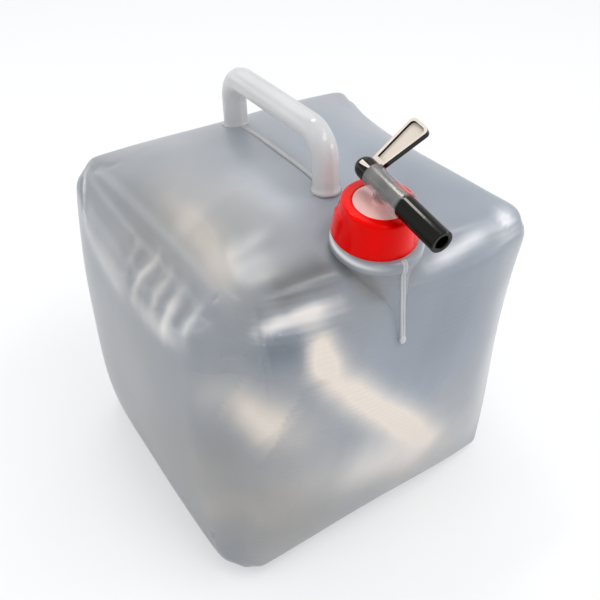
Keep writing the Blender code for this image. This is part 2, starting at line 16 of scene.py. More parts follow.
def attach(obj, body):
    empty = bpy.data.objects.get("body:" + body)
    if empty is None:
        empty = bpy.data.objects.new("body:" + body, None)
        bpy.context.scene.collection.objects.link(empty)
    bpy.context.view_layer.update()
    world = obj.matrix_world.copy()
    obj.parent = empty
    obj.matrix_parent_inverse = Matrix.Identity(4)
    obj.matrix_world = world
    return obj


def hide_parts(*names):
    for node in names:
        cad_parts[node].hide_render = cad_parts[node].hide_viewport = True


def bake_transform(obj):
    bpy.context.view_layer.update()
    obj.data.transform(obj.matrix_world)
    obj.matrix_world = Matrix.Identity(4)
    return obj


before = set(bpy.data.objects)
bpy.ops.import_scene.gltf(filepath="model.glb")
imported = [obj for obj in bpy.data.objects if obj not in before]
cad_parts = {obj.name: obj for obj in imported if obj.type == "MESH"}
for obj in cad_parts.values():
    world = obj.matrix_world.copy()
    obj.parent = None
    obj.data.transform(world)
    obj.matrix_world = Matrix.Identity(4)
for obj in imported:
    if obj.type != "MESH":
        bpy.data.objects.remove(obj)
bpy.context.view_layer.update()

# Film container, as the solids have it
SIDE = 0.2522
CORNER_HEIGHT = 0.2467
BASE_EDGE_RADIUS = 0.012
TOP_EDGE_RADIUS = 0.020
FRONT_LEFT_EXTRA_RADIUS = 0.016
FRONT_SWELL = 0.0341
BACK_SWELL = 0.028
LEFT_SWELL = 0.0242
RIGHT_SWELL = 0.028
TOP_SWELL = 0.0346
SWELL_POWER = 3.5
BASE_SWELL_POWER = 2.5
FRONT_HOLD_SHARE = 0.65
TOP_HOLD_SHARE = 0.1
EARS = (
    ((1, 1, 1), (0.0321, 0.0042, 0.0099)),
    ((1, -1, 1), (0.0179, -0.0157, 0.0071)),
    ((-1, 1, 1), (0, 0.0058, 0.0156)),
    ((-1, -1, -1), (-0.0147, -0.0259, 0)),
)
EAR_POWER = 4
FLAT_SHARE = 5 / 7
FILM_ROWS = 98
SMOOTH_ROUNDS = 300
SMOOTH_IN = 0.5
SMOOTH_OUT = -0.51

# Folds of the film: a path in shares of the cube, then width and height of the fold's crest.
# A sharp fold is a crease, and one that isn't is a soft roll. Below zero it is a valley.
SHARP, SOFT = True, False
FOLDS = (
    (((-0.93, -0.15, 1), (-1, -0.18, 0.91), (-1, -0.18, 0.64)), 0.0046, 0.0007, SOFT),
    (((-1, -0.27, 1), (-1, -0.35, 0.86), (-1, -0.41, 0.70)), 0.0044, 0.0004, SOFT),
    (((-0.97, -0.46, 1), (-1, -0.50, 0.93), (-1, -0.55, 0.69)), 0.0044, 0.0007, SOFT),
    (((-0.93, -0.64, 1), (-0.97, -0.69, 1), (-1, -0.72, 0.78)), 0.0044, 0.0006, SOFT),
    (((-0.95, 0.11, 1), (-1, 0.02, 0.86), (-1, -0.08, 0.68)), 0.0070, -0.0011, SOFT),
    (((-0.95, -0.21, 1), (-1, -0.27, 0.90), (-1, -0.33, 0.71)), 0.0046, -0.0005, SOFT),
    (((-0.95, -0.36, 1), (-1, -0.42, 0.90), (-1, -0.46, 0.72)), 0.0050, -0.0006, SOFT),
    (((-0.95, -0.54, 1), (-1, -0.60, 0.90), (-1, -0.64, 0.76)), 0.0046, -0.0006, SOFT),
    (((-0.95, -0.74, 1), (-1, -0.79, 0.94), (-1, -0.84, 0.84)), 0.0050, -0.0005, SOFT),
    (((-1, 0.68, 0.72), (-1, 0.33, 0.67), (-1, 0.05, 0.64), (-1, -0.30, 0.66)), 0.0085, 0.0018, SOFT),
    (((-1, -0.14, 0.64), (-1, -0.48, 0.67), (-1, -0.66, 0.73), (-1, -0.88, 0.84)), 0.0065, 0.0012, SOFT),
    (((-0.95, 0.74, 1), (-1, 0.66, 0.90), (-1, 0.47, 0.70)), 0.0016, 0.0016, SHARP),
    (((-0.99, 0.74, 1), (-1, 0.70, 0.92), (-1, 0.56, 0.68)), 0.0022, -0.0018, SOFT),
    (((-0.95, 0.70, 1), (-0.82, 0.62, 1), (-0.64, 0.53, 1)), 0.0038, -0.0017, SOFT),
    (((-1, -0.80, 0.61), (-1, -0.97, 0.60), (-0.90, -1, 0.65)), 0.0014, 0.0010, SHARP),
    (((-1, -0.95, 0.68), (-0.95, -1, 0.78), (-0.79, -1, 0.915)), 0.0012, 0.0012, SHARP),
    (((-0.82, -1, 0.90), (-0.79, -1, 0.70), (-0.785, -1, 0.46)), 0.0020, -0.0012, SHARP),
    (((-1, -0.66, 0.79), (-1, -0.93, 0.95), (-0.72, -0.97, 1)), 0.0055, 0.0010, SOFT),
    (((-0.80, -1, 0.87), (-0.79, -1, 0.95), (-0.74, -0.98, 1), (-0.70, -0.90, 1)), 0.003, -0.0018, SOFT),
    (((-0.94, -0.73, 1), (-0.88, -0.77, 1)), 0.0020, -0.0008, SOFT),
    (((-0.78, -1, 0.885), (-0.76, -1, 0.865)), 0.0012, 0.0010, SOFT),
    (((-0.68, -1, 0.90), (-0.64, -1, 0.92)), 0.0012, 0.0009, SOFT),
    (((-0.57, -1, 0.885), (-0.55, -1, 0.89)), 0.0010, 0.0006, SOFT),
    (((-0.62, 0.02, 1), (-0.62, -0.45, 1), (-0.80, -0.84, 1)), 0.0090, 0.0012, SOFT),
    (((-0.86, -0.86, -1), (-1, -1, -1), (-1, -1, -0.74)), 0.0080, 0.0036, SOFT),
    (((-1, -0.96, -0.66), (-1, -0.99, -0.63)), 0.0022, 0.0010, SOFT),
    (((-1, -0.78, -0.63), (-1, -0.74, -0.58)), 0.0020, -0.0009, SOFT),
)
FINE_REACH = 3.2
FINE_WIDTH = 0.0072
FINEST_WIDTH = 0.0024
FOLD_SAMPLES = 18
FOLD_END_SHARE = 0.3
FOLD_REACH = 5
CREST_LIFT = 0.22
CREST_ROUND = 0.05

# Painted light and shade on the film, with some uneven milkiness: a path, a width, then how much lighter
# and warmer
# Cream bands on the front are painted light let through and reflected; bright strokes along edges and
# fold crests are painted highlights; dark strokes under the top-front edge, on the left face and on the
# top are painted shade
PAINTED_LIGHT_STROKES = (
    (((-1, 0.66, 0.72), (-1, 0.33, 0.67), (-1, 0.05, 0.65), (-1, -0.19, 0.66)), 0.0085, 0.30, 0.1),
    (((-1, -0.19, 0.66), (-1, -0.48, 0.69), (-1, -0.72, 0.76)), 0.0070, 0.26, 0.1),
    (((-0.95, -0.16, 1), (-1, -0.17, 0.90), (-1, -0.18, 0.66)), 0.0044, 0.26, 0.1),
    (((-0.97, -0.31, 1), (-1, -0.35, 0.88), (-1, -0.39, 0.72)), 0.0040, 0.16, 0.1),
    (((-1, -0.48, 0.97), (-1, -0.52, 0.86), (-1, -0.53, 0.66)), 0.0048, 0.32, 0.1),
    (((-1, -0.67, 0.98), (-1, -0.69, 0.90), (-1, -0.71, 0.78)), 0.0044, 0.26, 0.1),
    (((-0.95, -0.02, 1), (-1, -0.06, 0.88), (-1, -0.10, 0.72)), 0.0070, -0.16, 0.0),
    (((-0.97, -0.24, 1), (-1, -0.28, 0.90), (-1, -0.31, 0.74)), 0.0040, -0.12, 0.0),
    (((-0.97, -0.39, 1), (-1, -0.43, 0.90), (-1, -0.46, 0.74)), 0.0040, -0.12, 0.0),
    (((-0.97, -0.57, 1), (-1, -0.60, 0.90), (-1, -0.62, 0.78)), 0.0044, -0.14, 0.0),
    (((-0.95, 0.74, 1), (-1, 0.66, 0.90), (-1, 0.50, 0.70)), 0.0022, 0.44, 0.2),
    (((-0.47, -1, 0.88), (-0.46, -1, 0.70), (-0.41, -1, 0.50)), 0.0110, 0.62, 1.0),
    (((-0.43, -1, 0.62), (-0.34, -1, 0.44), (-0.10, -1, 0.14), (0.24, -1, -0.24)), 0.014, 0.6, 1.0),
    (((-1, -0.97, 0.46), (-0.88, -1, 0.36), (-0.64, -1, 0.22)), 0.0230, 0.48, 0.9),
    (((-0.80, -1, 0.82), (-0.52, -1, 0.78)), 0.0150, -0.36, -0.4),
    (((-0.66, -0.88, 1), (-0.40, -0.84, 1), (-0.22, -0.84, 1)), 0.0160, -0.50, 0.1),
    (((-0.80, -1, 0.96), (-0.67, -1, 0.98), (-0.50, -1, 1), (-0.30, -1, 1)), 0.0058, 0.62, 0.2),
    (((0.20, -1, 1), (0.33, -0.98, 1), (0.45, -0.95, 1), (0.56, -0.93, 1)), 0.0055, 0.50, 0.0),
    (((0.62, -0.94, 1), (0.68, -0.86, 1)), 0.0070, 0.56, 0.0),
    (((0.10, -1, 0.50), (0.40, -1, 0.35)), 0.0400, -0.14, -0.9),
    (((-0.42, -1, -0.14), (0.02, -1, -0.26), (0.34, -1, -0.38)), 0.0280, 0.38, 0.2),
    (((-0.70, -1, -0.80), (0.10, -1, -0.85), (0.90, -1, -0.80)), 0.0180, 0.12, 0.1),
    (((0.74, -1, 0.70), (0.72, -1, -0.45)), 0.0180, 0.24, 0.1),
    (((-1, 0.90, 0.10), (-1, -0.70, 0.00)), 0.1000, -0.15, 0.1),
    (((-1, -0.70, 0.10), (-1, -0.80, -0.60)), 0.0260, 0.06, 0.3),
    (((-0.66, 0.02, 1), (-0.66, -0.45, 1), (-0.84, -0.86, 1)), 0.0120, 0.16, 0.4),
    (((-0.60, -0.20, 1), (-0.50, -0.60, 1)), 0.0200, -0.20, 0.0),
    (((-0.80, 0.50, 1), (-0.86, -0.30, 1)), 0.0200, -0.12, 0.0),
    (((-0.20, 0.10, 1), (-0.22, -0.60, 1)), 0.0180, 0.14, -0.3),
    (((0.35, -0.10, 1), (0.60, -0.60, 1)), 0.0450, -0.12, -1.0),
    (((0.10, 0.70, 1), (0.70, 0.50, 1)), 0.0400, -0.14, -0.6),
    (((-1, 0.90, -0.30), (-1, -0.90, -0.45)), 0.1000, -0.06, 0.4),
    (((-0.95, -1, -0.05), (-0.30, -1, -0.80)), 0.0500, 0.02, 0.5),
    (((-0.20, -1, -0.40), (0.60, -1, -0.60)), 0.0400, 0.02, 0.4),
    (((-0.80, 0.40, 1), (-0.60, -0.70, 1)), 0.0600, 0.06, 0.4),
)

# Reach and end fade of the painted light and shade strokes
PAINT_REACH = 3
PAINT_END_SHARE = 0.35
# Painted highlights: a white crescent on each side of the collar's rim
COLLAR_PAINTED_HIGHLIGHT = 0.8
COLLAR_PAINTED_HIGHLIGHT_WIDTH = 0.0018
# Painted shade of the collar on the shoulder below it, darker and warmer
SHOULDER_PAINTED_SHADE = 0.10
SHOULDER_SHADE_WARMTH = 0.5
SHOULDER_FADE_IN = 0.004
SHOULDER_FADE_DOWN = 0.006
FLOW_START = 0.112
FLOW_FADE = 0.02

# Neck, collar and pouring shoulder
NECK_INSET = 0.0026
NECK_RISE = 0.0278
NECK_TILT = math.radians(11)
NECK_CORE = 0.0212
NECK_BORE = 0.0195
NECK_RIM = 0.0184
NECK_ROWS = 60
THREAD_HEIGHT = 0.0015
THREAD_PITCH = 0.005
THREAD_WIDTH_SHARE = 0.16
THREAD_START = 0.002
THREAD_END = 0.0015
COLLAR_RADIUS = 0.0325
COLLAR_FORWARD = 0.0036
COLLAR_ROUND = 0.0042
COLLAR_DEPTH = 0.0075
ROUND_SEGMENTS = 96
ROUND_STEPS = 8
SHOULDER_STEP = 0.0028
PROW_HALF_WIDTH = 0.0140
PROW_REACH = 0.0362
PROW_POWER = 4
PROW_FOOT_HEIGHT = 0.203
PROW_ROWS = 12

# Moulding seam
SEAM_RADIUS = 0.0010
SEAM_SPREAD = 0.0010
SEAM_PROUD = 0.0007
SEAM_END_HEIGHT = 0.2045
SEAM_STEPS = 24
SEAM_BLOB_RADIUS = 0.0027
SEAM_BLOB_STRETCH = (1, 0.6, 1.25, 1)
BEAD_RESOLUTION = 3
RIDGE_HEIGHT = 0.0032
RIDGE_WIDTH = 0.0016
RIDGE_FOOT_SHARE = 0.35
RIDGE_STEPS = 48

# Handle
HANDLE_RADIUS = 0.0098
HANDLE_TOP = 0.3205
HANDLE_BACK = 0.0705
HANDLE_FRONT = 0.0635
HANDLE_BEND = 0.020
HANDLE_LINE = 0.00035
HANDLE_LINE_WIDTH_SHARE = 0.10
HANDLE_SIDES = 64
HANDLE_BEND_STEPS = 14
HANDLE_LEG_STEPS = 12
HANDLE_BAR_STEPS = 16
FOOT_RADIUS = 0.0118
FOOT_HEIGHT = 0.0050

# Screw ring
RING_BASE_RADIUS = 0.0300
RING_TOP_RADIUS = 0.0262
RING_HEIGHT = 0.0262
RING_WALL = 0.0025
RING_ROUND = 0.0026
RING_HOLE = 0.0187
RING_SEGMENTS = 240
RING_ROWS = 36
RING_ROUND_STEPS = 10
LUG_RADIUS = 0.0306
LUG_SLOPE = 0.0016
LUG_WIDTH = 0.0160
LUG_HEIGHT = 0.0180
LUG_EDGE = 0.0018
LUG_TURN = math.radians(-22)

# Tap lever, clear of the barrel above this height
LEVER_FOOT_HEIGHT = 0.322
LEVER_ANGLE = math.radians(33)
# How squarely a lever face must face outward to take the painted glare
FACING_LEAST = 0.97

# How high above the ring the tap's painted rosy glow starts to fade and ends
TINT_START = 0.0005
TINT_END = 0.0060

# Steepest bend that is still shaded smooth
FILM_SHARP_ANGLE = math.radians(42)
RING_SHARP_ANGLE = math.radians(40)
TAP_SHARP_ANGLE = math.radians(28)

# Camera, from the fit to the photograph
CAMERA_PLACE = Vector((-0.3003, -0.52182, 0.5915))
CAMERA_TURN = -0.542
CAMERA_DOWN = 0.645
CAMERA_ROLL = -0.030
FOCAL_PIXELS = 870.36
IMAGE_PIXELS = 600
SENSOR = 36

# Lamps: degrees right of the front and above level, distance, size, radiance, colour, aim
WHITE = (1, 1, 1)
MIDDLE = (0, 0, 0.12)
TAP_PLACE = (0, -0.15, 0.318)
RING_PLACE = (0, -0.15, 0.268)
LAMPS = (
    ("front_strip", 32, 60, 1.5, (1.3, 0.34), 5.0, (1.0, 0.98, 0.95), MIDDLE),
    ("back_left", -142, 17, 1.3, (1.0, 0.40), 0.9, WHITE, MIDDLE),
    ("back_soft", 165, 50, 2.5, (2.4, 1.2), 0.9, WHITE, MIDDLE),
    ("tap_key", 174, 66.5, 1.5, (0.34, 0.12), 22, (1.0, 0.95, 0.87), TAP_PLACE),
    ("right_key", 60, 15, 1.3, (0.30, 0.14), 10, WHITE, RING_PLACE),
    ("left_key", -100, 40, 1.3, (0.20, 0.12), 8, WHITE, RING_PLACE),
)
FLOOR_HALF_SIDE = 4
FLOOR_DROP = 0.0004
FLOOR_GLOW_SHARE = 0.45


def camera():
    """A camera at the photograph's place, given by its turn, its dip and its roll."""
    turn, down = CAMERA_TURN, CAMERA_DOWN
    ahead = Vector(
        (-math.sin(turn) * math.cos(down), math.cos(turn) * math.cos(down), -math.sin(down))
    )
    level = Vector((math.cos(turn), math.sin(turn), 0))
    upright = level.cross(ahead)
    right = level * math.cos(CAMERA_ROLL) + upright * math.sin(CAMERA_ROLL)
    up = upright * math.cos(CAMERA_ROLL) - level * math.sin(CAMERA_ROLL)
    lens = bpy.data.cameras.new("camera")
    lens.sensor_width = SENSOR
    lens.lens = SENSOR * FOCAL_PIXELS / IMAGE_PIXELS
    lens.clip_start = 0.01
    item = bpy.data.objects.new("camera", lens)
    bpy.context.scene.collection.objects.link(item)
    axes = Matrix((right, up, -ahead)).transposed()
    item.matrix_world = Matrix.Translation(CAMERA_PLACE) @ axes.to_4x4()
    bpy.context.scene.camera = item


def softbox(name, side, rise, distance, size, radiance, colour, aim):
    """An area lamp seen from `aim` at `side` degrees right of the front, `rise` above level."""
    lamp = bpy.data.lights.new(name, "AREA")
    lamp.shape = "RECTANGLE"
    lamp.size, lamp.size_y = size
    lamp.energy = radiance * math.pi * size[0] * size[1]
    lamp.color = colour
    item = bpy.data.objects.new(name, lamp)
    bpy.context.scene.collection.objects.link(item)
    turn, lift = math.radians(side), math.radians(rise)
    away = Vector(
        (math.sin(turn) * math.cos(lift), -math.cos(turn) * math.cos(lift), math.sin(lift))
    )
    item.location = Vector(aim) + away * distance
    item.rotation_euler = away.to_track_quat("Z", "Y").to_euler()


def wire(tree, source, output, target, socket):
    tree.links.new(source.outputs[output], target.inputs[socket])


def studio():
    """Pale floor, white surroundings as seen, and soft lamps."""
    world = bpy.data.worlds.new("studio")
    bpy.context.scene.world = world
    world.use_nodes = True
    tree = world.node_tree
    tree.nodes.clear()
    fill = tree.nodes.new("ShaderNodeBackground")
    fill.inputs["Color"].default_value = (0.92, 0.95, 1.0, 1)
    fill.inputs["Strength"].default_value = 0.77
    seen = tree.nodes.new("ShaderNodeBackground")
    seen.inputs["Color"].default_value = (1, 1, 1, 1)
    path = tree.nodes.new("ShaderNodeLightPath")
    either = sums(tree, "MAXIMUM", (path, "Is Camera Ray"), (path, "Is Transmission Ray"))
    any_seen = sums(tree, "MAXIMUM", either, (path, "Is Glossy Ray"))
    mix = tree.nodes.new("ShaderNodeMixShader")
    wire(tree, *any_seen, mix, 0)
    wire(tree, fill, 0, mix, 1)
    wire(tree, seen, 0, mix, 2)
    output = tree.nodes.new("ShaderNodeOutputWorld")
    wire(tree, mix, 0, output, 0)

    solid = bmesh.new()
    bmesh.ops.create_grid(solid, x_segments=1, y_segments=1, size=FLOOR_HALF_SIDE)
    mesh = bpy.data.meshes.new("floor")
    solid.to_mesh(mesh)
    solid.free()
    floor = bpy.data.objects.new("floor", mesh)
    bpy.context.scene.collection.objects.link(floor)
    floor.location.z = -FLOOR_DROP
    paint = bpy.data.materials.new("pale_floor")
    paint.use_nodes = True
    shader = paint.node_tree.nodes["Principled BSDF"]
    shader.inputs["Base Color"].default_value = (0.93, 0.93, 0.93, 1)
    shader.inputs["Roughness"].default_value = 0.9
    glow = paint.node_tree.nodes.new("ShaderNodeEmission")
    camera_ray = paint.node_tree.nodes.new("ShaderNodeLightPath")
    part = sums(paint.node_tree, "MULTIPLY", (camera_ray, "Is Camera Ray"), FLOOR_GLOW_SHARE)
    blend = paint.node_tree.nodes.new("ShaderNodeMixShader")
    wire(paint.node_tree, *part, blend, 0)
    wire(paint.node_tree, shader, 0, blend, 1)
    wire(paint.node_tree, glow, 0, blend, 2)
    wire(paint.node_tree, blend, 0, paint.node_tree.nodes["Material Output"], "Surface")
    mesh.materials.append(paint)

    for lamp in LAMPS:
        softbox(*lamp)


def material(name):
    made = bpy.data.materials.new(name)
    made.use_nodes = True
    return made, made.node_tree, made.node_tree.nodes["Principled BSDF"]


def set_sockets(shader, values):
    for socket, value in values.items():
        shader.inputs[socket].default_value = value


def let_through(tree, shader, share, colour):
    """Some light goes through the plastic and comes out scattered."""
    through = tree.nodes.new("ShaderNodeBsdfTranslucent")
    through.inputs["Color"].default_value = (*colour, 1)
    mix = tree.nodes.new("ShaderNodeMixShader")
    mix.inputs[0].default_value = share
    wire(tree, shader, 0, mix, 1)
    wire(tree, through, 0, mix, 2)
    wire(tree, mix, 0, tree.nodes["Material Output"], "Surface")


def noise(tree, scale, detail, stretch=None):
    """Noise in the object's own metres, stretched along its axes if asked."""
    place = tree.nodes.new("ShaderNodeTexCoord")
    cloud = tree.nodes.new("ShaderNodeTexNoise")
    cloud.inputs["Scale"].default_value = scale
    cloud.inputs["Detail"].default_value = detail
    if stretch:
        scaled = tree.nodes.new("ShaderNodeMapping")
        scaled.inputs["Scale"].default_value = stretch
        wire(tree, place, "Object", scaled, "Vector")
        wire(tree, scaled, 0, cloud, "Vector")
    else:
        wire(tree, place, "Object", cloud, "Vector")
    return cloud


def ramp(tree, source, output, stops):
    node = tree.nodes.new("ShaderNodeValToRGB")
    keys = node.color_ramp.elements
    while len(keys) < len(stops):
        keys.new(0.5)
    for key, (place, colour) in zip(keys, stops):
        key.position = place
        key.color = (*colour, 1)
    wire(tree, source, output, node, 0)
    return node


def sums(tree, operation, first, second):
    """A Math node on two sources, each a node with its output, or a number."""
    node = tree.nodes.new("ShaderNodeMath")
    node.operation = operation
    for socket, source in enumerate((first, second)):
        if isinstance(source, tuple):
            wire(tree, source[0], source[1], node, socket)
        else:
            node.inputs[socket].default_value = source
    return node, 0


def bump(tree, shader, source, output, strength, distance):
    node = tree.nodes.new("ShaderNodeBump")
    node.inputs["Strength"].default_value = strength
    node.inputs["Distance"].default_value = distance
    wire(tree, source, output, node, "Height")
    wire(tree, node, 0, shader, "Normal")


def kept(tree, name):
    """A value that the mesh carries at its points."""
    node = tree.nodes.new("ShaderNodeAttribute")
    node.attribute_name = name
    return node


def film_material(see_through):
    """Milky soft film: painted light and shade from its points over noise clouds of thicker film, flow
    lines, satin gloss, some light let through.
    """
    made, tree, shader = material("milky_film")
    cloud = noise(tree, scale=10, detail=5)
    drift = sums(tree, "MULTIPLY_ADD", (cloud, "Fac"), 0.36)
    drift[0].inputs[2].default_value = 0.33
    # The level takes the painted light and shade and the milkiness kept at the points; the ramps' bright
    # ends give painted highlights and cream light, their dark ends painted shade
    level = sums(tree, "ADD", drift, (kept(tree, "milk_and_painted_light"), "Fac"))
    cool = ramp(
        tree, *level, ((0.0, (0.10, 0.12, 0.14)), (0.5, (0.295, 0.335, 0.395)), (1.0, (0.86, 0.90, 0.94)))
    )
    warm = ramp(
        tree, *level, ((0.0, (0.12, 0.115, 0.105)), (0.5, (0.37, 0.35, 0.32)), (1.0, (1.0, 0.88, 0.76)))
    )
    wander = sums(tree, "MULTIPLY_ADD", (noise(tree, scale=7, detail=2), "Fac"), 0.5)
    wander[0].inputs[2].default_value = 0.0
    warmth_and_painted_light = sums(tree, "ADD", wander, (kept(tree, "warmth_and_painted_light"), "Fac"))
    warmth_and_painted_light[0].use_clamp = True
    tint = tree.nodes.new("ShaderNodeMix")
    tint.data_type = "RGBA"
    wire(tree, *warmth_and_painted_light, tint, 0)
    wire(tree, cool, 0, tint, 6)
    wire(tree, warm, 0, tint, 7)
    wire(tree, tint, 2, shader, "Base Color")
    set_sockets(shader, {"Roughness": 0.34, "Specular IOR Level": 0.4})
    set_sockets(shader, {"Coat Weight": 1.0, "Coat Roughness": 0.28, "Coat IOR": 1.48})
    set_sockets(shader, {"Sheen Weight": 0.4, "Sheen Roughness": 0.14})

    ripple = noise(tree, scale=60, detail=2, stretch=(1, 1, 0.35))
    lines = tree.nodes.new("ShaderNodeTexWave")
    lines.bands_direction = "Z"
    set_sockets(lines, {"Scale": 76, "Distortion": 2.2, "Detail": 2, "Detail Scale": 0.35})
    wire(tree, kept(tree, "rest_place"), "Vector", lines, "Vector")
    flow = sums(tree, "MULTIPLY", (lines, "Fac"), (kept(tree, "flow"), "Fac"))
    relief = sums(tree, "MULTIPLY_ADD", flow, 0.8)
    wire(tree, ripple, "Fac", relief[0], 2)
    bump(tree, shader, *relief, strength=0.26, distance=0.0010)
    let_through(tree, shader, see_through, (0.72, 0.74, 0.76))
    return made


def thick_material(name, low, high, see_through):
    """The thicker milky plastic of handle, seam and neck, whiter and glossier than the film."""
    made, tree, shader = material(name)
    cloud = noise(tree, scale=24, detail=3, stretch=(1, 0.4, 1))
    tint = ramp(tree, cloud, "Fac", ((0.3, low), (0.7, high)))
    wire(tree, tint, 0, shader, "Base Color")
    set_sockets(shader, {"Roughness": 0.3, "Coat Weight": 0.9, "Coat Roughness": 0.09})
    set_sockets(shader, {"Sheen Weight": 0.35, "Sheen Roughness": 0.3})
    fine = noise(tree, scale=120, detail=2, stretch=(1, 0.25, 1))
    bump(tree, shader, fine, "Fac", strength=0.12, distance=0.0006)
    let_through(tree, shader, see_through, (0.86, 0.86, 0.85))
    return made


def gloss_material(name, colour, roughness, gloss, tint=WHITE, spread=0.06):
    """Glossy moulded plastic, a little uneven in sheen, with faint flow marks."""
    made, tree, shader = material(name)
    shader.inputs["Specular IOR Level"].default_value = gloss
    shader.inputs["Specular Tint"].default_value = (*tint, 1)
    cloud = noise(tree, scale=40, detail=3)
    dark = tuple(0.9 * part for part in colour)
    shade = ramp(tree, cloud, "Fac", ((0.35, dark), (0.65, colour)))
    wire(tree, shade, 0, shader, "Base Color")
    rough = tree.nodes.new("ShaderNodeMapRange")
    set_sockets(rough, {"To Min": roughness - spread / 2, "To Max": roughness + spread / 2})
    wire(tree, cloud, "Fac", rough, "Value")
    wire(tree, rough, 0, shader, "Roughness")
    fine = noise(tree, scale=700, detail=2)
    bump(tree, shader, fine, "Fac", strength=0.06, distance=0.0002)
    return made


def eased(share):
    """A smooth step from 0 to 1."""
    share = np.clip(share, 0, 1)
    return share * share * (3 - 2 * share)


def swell(share, hold=0.0, power=SWELL_POWER):
    """Part of a face's bulge left at `share` of the way to its edge, with `hold` left there."""
    return 1 - (1 - hold) * np.abs(share) ** power


def front_upright(share):
    """Part of the front's bulge at a height, `share` of the way from its middle to its edge."""
    return np.where(share > 0, swell(share, FRONT_HOLD_SHARE), swell(share, 0, BASE_SWELL_POWER))


def film_places(unit):
    """Points of the film for points of the unit cube's surface, one a row."""
    half = np.array([SIDE / 2, SIDE / 2, CORNER_HEIGHT / 2])
    rise = eased((unit[:, 2] + 1) / 2)
    extra = FRONT_LEFT_EXTRA_RADIUS * ((1 - unit[:, 0]) * (1 - unit[:, 1]) / 4) ** 2
    radius = BASE_EDGE_RADIUS + (TOP_EDGE_RADIUS - BASE_EDGE_RADIUS) * rise + extra
    radius = radius[:, None]
    core = half - radius
    away = np.abs(unit)
    turn = np.clip((away - FLAT_SHARE) / (1 - FLAT_SHARE), 0, 1) * math.pi / 4
    place = np.where(away <= FLAT_SHARE, core * away / FLAT_SHARE, core + radius * np.tan(turn))
    flat = np.copysign(place, unit)
    inner = np.clip(flat, -core, core)
    normal = flat - inner
    normal /= np.linalg.norm(normal, axis=1, keepdims=True)
    point = inner + normal * radius
    x, y, z = (flat / half).T
    weight = 1 - (1 - np.minimum(1, math.sqrt(2) * np.abs(normal))) ** 2
    ahead = -FRONT_SWELL * swell(x) * front_upright(z)
    behind = BACK_SWELL * swell(x) * swell(z)
    point[:, 1] += np.where(normal[:, 1] < 0, ahead, behind) * weight[:, 1]
    side = np.where(normal[:, 0] > 0, RIGHT_SWELL, -LEFT_SWELL)
    point[:, 0] += side * swell(y) * swell(z) * weight[:, 0]
    dome = TOP_SWELL * swell(x) * swell(y, np.where(y < 0, TOP_HOLD_SHARE, 0.0))
    point[:, 2] += np.where(normal[:, 2] > 0, dome, 0) * weight[:, 2]
    share = np.clip(point / half, -1, 1)
    moved = np.zeros_like(point)
    for corner, reach in EARS:
        near = np.prod(((1 + np.array(corner) * share) / 2) ** EAR_POWER, axis=1)
        moved += near[:, None] * np.array(reach)
    point += moved
    point[:, 2] += half[2]
    return point


def film_top(y):
    """Height of the film's crown line at a place `y` on its top."""
    return CORNER_HEIGHT + TOP_SWELL * float(swell(2 * y / SIDE, TOP_HOLD_SHARE if y < 0 else 0))


def film_front(height):
    """Place in Y of the front face's middle line at a height."""
    return -SIDE / 2 - FRONT_SWELL * float(front_upright(2 * height / CORNER_HEIGHT - 1))


def smoothed(points, mesh):
    """The points with the short waves taken out and the long ones kept, so nothing shrinks."""
    ends = np.zeros(len(mesh.edges) * 2, np.int32)
    mesh.edges.foreach_get("vertices", ends)
    first, second = ends.reshape(-1, 2).T
    count = np.bincount(ends, minlength=len(points))[:, None]
    for _ in range(SMOOTH_ROUNDS):
        for rate in (SMOOTH_IN, SMOOTH_OUT):
            around = [
                np.bincount(first, column[second], len(points))
                + np.bincount(second, column[first], len(points))
                for column in points.T
            ]
            points = points + rate * (np.stack(around, axis=1) / count - points)
    return points


class FilmMap:
    """Finds places on the smoothed film from shares of the cube."""

    def __init__(self, unit, places):
        self.places = places
        self.tree = KDTree(len(unit))
        for k, point in enumerate(unit):
            self.tree.insert(point, k)
        self.tree.balance()

    def line(self, path):
        """Points of the film along a path of shares, evenly sampled between its corners."""
        corners = np.array(path, float)
        spans = np.linalg.norm(np.diff(corners, axis=0), axis=1)
        reached = np.concatenate([[0], np.cumsum(spans)]) / spans.sum()
        steps = np.linspace(0, 1, FOLD_SAMPLES)
        line = np.stack([np.interp(steps, reached, column) for column in corners.T], axis=1)
        line /= np.abs(line).max(axis=1, keepdims=True)
        found = []
        for point in line:
            near = self.tree.find_n(point, 4)
            weights = np.array([1 / (away + 1 / FILM_ROWS**2) for _, _, away in near])
            chosen = self.places[[k for _, k, _ in near]]
            found.append(weights @ chosen / weights.sum())
        return np.array(found)


def along(points, line, reach):
    """Which points lie within `reach` of a line of points, how far off, and how far along."""
    near = np.all((points > line.min(axis=0) - reach) & (points < line.max(axis=0) + reach), axis=1)
    chosen = np.flatnonzero(near)
    places = points[chosen]
    best = np.full(len(chosen), np.inf)
    share = np.zeros(len(chosen))
    for k in range(len(line) - 1):
        step = line[k + 1] - line[k]
        part = np.clip((places - line[k]) @ step / (step @ step), 0, 1)
        away = np.linalg.norm(places - line[k] - part[:, None] * step, axis=1)
        closer = away < best
        best = np.where(closer, away, best)
        share = np.where(closer, (k + part) / (len(line) - 1), share)
    return chosen, best, share


